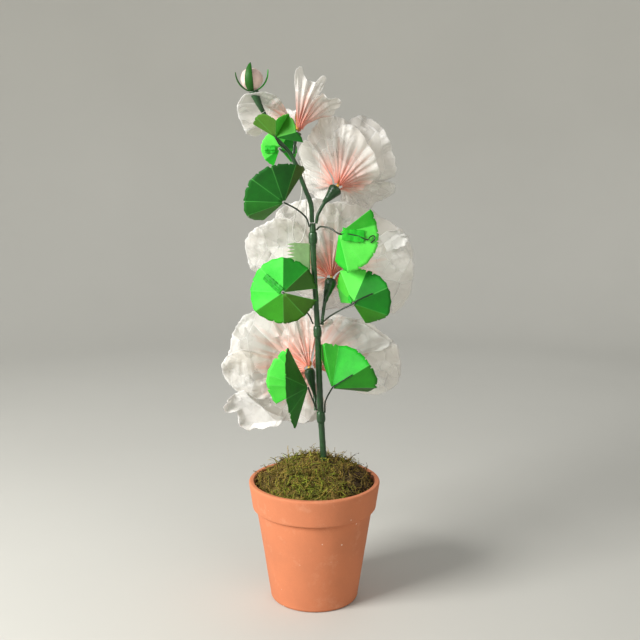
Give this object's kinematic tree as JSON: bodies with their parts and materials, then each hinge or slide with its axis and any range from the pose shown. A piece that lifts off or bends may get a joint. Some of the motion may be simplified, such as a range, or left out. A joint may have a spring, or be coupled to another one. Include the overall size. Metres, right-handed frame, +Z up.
{
  "type": "potted paper flower",
  "caption": "Paper flower stem in a clay pot with moss: crinkled tissue blooms and a bud on a taped wire stem with creased green paper leaves.",
  "frame": {"origin": "on the table top, under the middle of the whole plant's outline; the pot's axis is 2 mm to the -X side and 11 mm to the -Y side of it", "axes": "+Z is up; -Y is the front, where the stem stands before its flowers; +X is to the right seen from the front"},
  "size_m": [0.1933, 0.1516, 0.523],
  "materials": {
    "clay": "unglazed terracotta, matte, faint lime bloom",
    "foam": "dry floral foam, open pored",
    "moss": "dried sheet moss, loose fibres",
    "stem_tape": "waxed crepe stem tape, satin",
    "leaf_paper": "bright green card, creased, matte",
    "petal_tissue": "crinkled translucent waxed tissue, coral at the base",
    "bud_tissue": "crinkled tissue, pale pink",
    "stamen_paper": "rolled crepe paper, matte",
    "tag_paper": "thin pale green paper, blank",
    "thread": "twisted cotton thread"
  },
  "bodies": {
    "root": {"pot": "clay", "filler_block": "foam", "moss": "moss", "main_stem": "stem_tape", "bud_stalk": "stem_tape", "tape_wrap_low": "stem_tape", "tape_wrap_mid": "stem_tape", "tape_wrap_high": "stem_tape", "flower_top_stalk": "stem_tape", "flower_top_calyx": "stem_tape", "flower_top_centre": "stamen_paper", "flower_top_petal_1": "petal_tissue", "flower_top_petal_2": "petal_tissue", "flower_top_petal_3": "petal_tissue", "flower_top_petal_4": "petal_tissue", "flower_top_petal_5": "petal_tissue", "flower_right_stalk": "stem_tape", "flower_right_calyx": "stem_tape", "flower_right_centre": "stamen_paper", "flower_right_petal_1": "petal_tissue", "flower_right_petal_2": "petal_tissue", "flower_right_petal_3": "petal_tissue", "flower_right_petal_4": "petal_tissue", "flower_right_petal_5": "petal_tissue", "flower_middle_stalk": "stem_tape", "flower_middle_calyx": "stem_tape", "flower_middle_centre": "stamen_paper", "flower_middle_petal_1": "petal_tissue", "flower_middle_petal_2": "petal_tissue", "flower_middle_petal_3": "petal_tissue", "flower_middle_petal_4": "petal_tissue", "flower_middle_petal_5": "petal_tissue", "flower_bottom_stalk": "stem_tape", "flower_bottom_calyx": "stem_tape", "flower_bottom_centre": "stamen_paper", "flower_bottom_petal_1": "petal_tissue", "flower_bottom_petal_2": "petal_tissue", "flower_bottom_petal_3": "petal_tissue", "flower_bottom_petal_4": "petal_tissue", "flower_bottom_petal_5": "petal_tissue", "bud": "bud_tissue", "bud_calyx": "stem_tape", "leaf_top_front": "leaf_paper", "leaf_top_front_wire": "stem_tape", "leaf_top_back": "leaf_paper", "leaf_top_back_wire": "stem_tape", "leaf_high_left": "leaf_paper", "leaf_high_left_wire": "stem_tape", "leaf_high_right": "leaf_paper", "leaf_high_right_wire": "stem_tape", "leaf_middle_left": "leaf_paper", "leaf_middle_left_wire": "stem_tape", "leaf_middle_right": "leaf_paper", "leaf_middle_right_wire": "stem_tape", "leaf_low_left": "leaf_paper", "leaf_low_left_wire": "stem_tape", "leaf_low_right": "leaf_paper", "leaf_low_right_wire": "stem_tape", "tag": "tag_paper", "tag_thread": "thread"}
  },
  "joints": []
}
